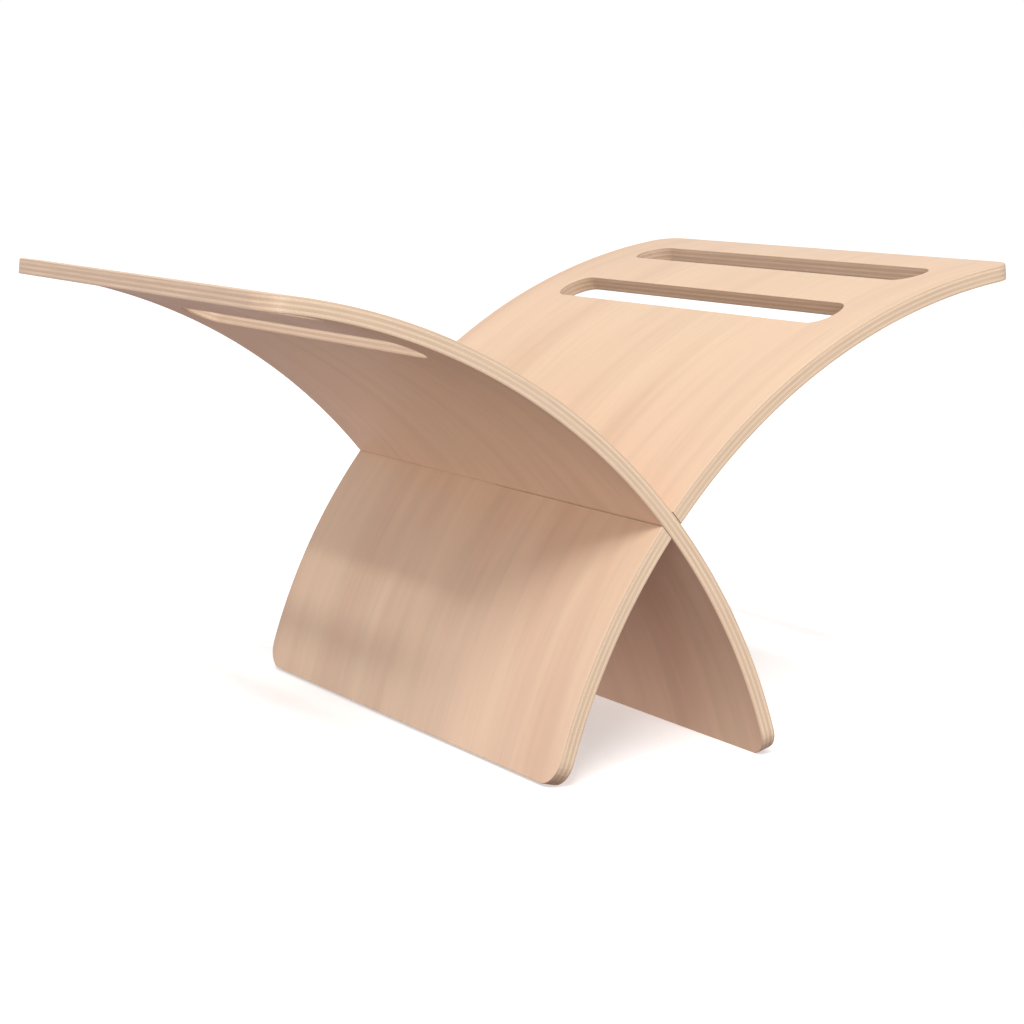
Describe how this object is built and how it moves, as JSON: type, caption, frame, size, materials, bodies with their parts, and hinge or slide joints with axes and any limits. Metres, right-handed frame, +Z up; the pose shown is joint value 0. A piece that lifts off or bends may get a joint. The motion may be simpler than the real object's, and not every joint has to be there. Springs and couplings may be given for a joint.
{
  "type": "magazine rack",
  "caption": "Free-standing magazine rack of curved plywood panels that cross in an X and lock with half-width slots, with long handle slots near the tips.",
  "frame": {"origin": "on the floor, midway between the feet and under the crossing of the two panels", "axes": "+Z up, +X towards the tip of the right panel, +Y from the front side edges to the back side edges"},
  "size_m": [0.4076, 0.3, 0.2297],
  "materials": {
    "face_veneer": "clear satin lacquer over pale sliced veneer, long grain along the bend",
    "crossband": "sanded and sealed edge of cross-grain ply, the lighter line of the edge",
    "core_ply": "sanded and sealed edge of long-grain ply, the darker line of the edge"
  },
  "bodies": {
    "right_panel": {"right_outer_face_veneer": "face_veneer", "right_outer_crossband": "crossband", "right_outer_core_ply": "core_ply", "right_centre_crossband": "crossband", "right_inner_core_ply": "core_ply", "right_inner_crossband": "crossband", "right_inner_face_veneer": "face_veneer"},
    "left_panel": {"left_outer_face_veneer": "face_veneer", "left_outer_crossband": "crossband", "left_outer_core_ply": "core_ply", "left_centre_crossband": "crossband", "left_inner_core_ply": "core_ply", "left_inner_crossband": "crossband", "left_inner_face_veneer": "face_veneer"}
  },
  "joints": [
    {"name": "halving_slide", "type": "slide", "parent": "right_panel", "child": "left_panel", "axis": [0, -1, 0], "range_m": [0, 0.15]}
  ]
}
